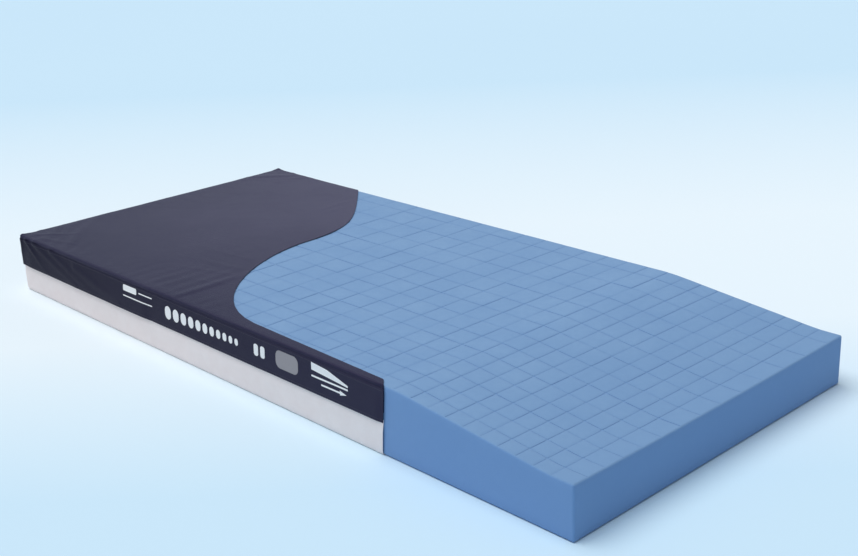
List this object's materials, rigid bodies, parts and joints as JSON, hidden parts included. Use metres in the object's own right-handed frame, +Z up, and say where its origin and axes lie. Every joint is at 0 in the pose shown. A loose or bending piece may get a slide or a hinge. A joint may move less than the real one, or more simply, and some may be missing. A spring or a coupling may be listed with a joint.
{
  "type": "pressure relief mattress",
  "caption": "Foam hospital bed mattress with a cut-cell top and heel slope, its two-tone zipped cover cut back to show the core; bends with the bed.",
  "frame": {"origin": "middle of the underside of the whole mattress", "axes": "+X along the mattress towards the foot end, +Y across it towards the far long side, +Z up through its thickness"},
  "size_m": [2.032, 0.9256, 0.1604],
  "materials": {
    "foam": "open-cell polyurethane foam, matt, with fine pores",
    "sock_fabric": "knitted fire barrier, matt off-white",
    "base_fabric": "coated woven fabric, matt pale grey",
    "top_fabric": "coated stretch knit, soft sheen, dark blue-grey",
    "zip_tape": "woven zip tape with moulded coil",
    "zip_metal": "satin cast metal"
  },
  "bodies": {
    "seat_section": {"foam_seat": "foam", "foam_hip_flex": "foam", "foam_thigh_flex": "foam", "fire_sock_seat": "sock_fabric", "base_cover_seat": "base_fabric", "top_cover_seat": "top_fabric", "zip_flap_seat": "top_fabric", "zip_upper_seat": "zip_tape", "zip_lower_seat": "zip_tape"},
    "back_section": {"foam_back": "foam", "fire_sock_back": "sock_fabric", "base_cover_back": "base_fabric", "top_cover_back": "top_fabric", "zip_flap_back": "top_fabric", "zip_upper_back": "zip_tape", "zip_lower_back": "zip_tape", "zip_stop": "zip_metal"},
    "thigh_section": {"foam_thigh": "foam", "fire_sock_thigh": "sock_fabric", "base_cover_thigh": "base_fabric", "top_cover_thigh": "top_fabric", "zip_flap_thigh": "top_fabric", "zip_upper_thigh": "zip_tape", "zip_lower_thigh": "zip_tape"},
    "calf_section": {"foam_calf": "foam", "fire_sock_calf": "sock_fabric", "base_cover_calf": "base_fabric", "top_cover_calf": "top_fabric", "zip_flap_calf": "top_fabric", "zip_upper_calf": "zip_tape", "zip_lower_calf": "zip_tape"},
    "zip_slider_body": {"zip_slider": "zip_metal"},
    "zip_pull_body": {"zip_pull": "zip_metal"}
  },
  "joints": [
    {"name": "back_bend", "type": "hinge", "parent": "seat_section", "child": "back_section", "pos_m": [-0.23, 0, 0], "axis": [0, 1, 0], "range_deg": [0, 60], "deforming": ["foam_hip_flex", "fire_sock_back", "base_cover_back", "top_cover_back", "zip_flap_back", "zip_upper_back", "zip_lower_back", "fire_sock_seat", "base_cover_seat", "top_cover_seat", "zip_flap_seat", "zip_upper_seat", "zip_lower_seat"]},
    {"name": "thigh_bend", "type": "hinge", "parent": "seat_section", "child": "thigh_section", "pos_m": [0.045, 0, 0], "axis": [0, -1, 0], "range_deg": [0, 25], "deforming": ["foam_thigh_flex", "fire_sock_thigh", "base_cover_thigh", "top_cover_thigh", "zip_flap_thigh", "zip_upper_thigh", "zip_lower_thigh"]},
    {"name": "knee_bend", "type": "hinge", "parent": "thigh_section", "child": "calf_section", "pos_m": [0.4, 0, 0], "axis": [0, 1, 0], "range_deg": [0, 40], "deforming": ["fire_sock_calf", "base_cover_calf", "top_cover_calf", "zip_flap_calf", "zip_upper_calf", "zip_lower_calf"]},
    {"name": "zip_travel", "type": "slide", "parent": "back_section", "child": "zip_slider_body", "axis": [1, 0, 0], "range_m": [0, 0.53]},
    {"name": "pull_swing", "type": "hinge", "parent": "zip_slider_body", "child": "zip_pull_body", "pos_m": [-0.93, -0.461, 0.0895], "axis": [0, 1, 0], "range_deg": [-85, 85]}
  ],
  "couplings": [
    {"joint": "knee_bend", "follows": "thigh_bend", "ratio": 1.55}
  ]
}
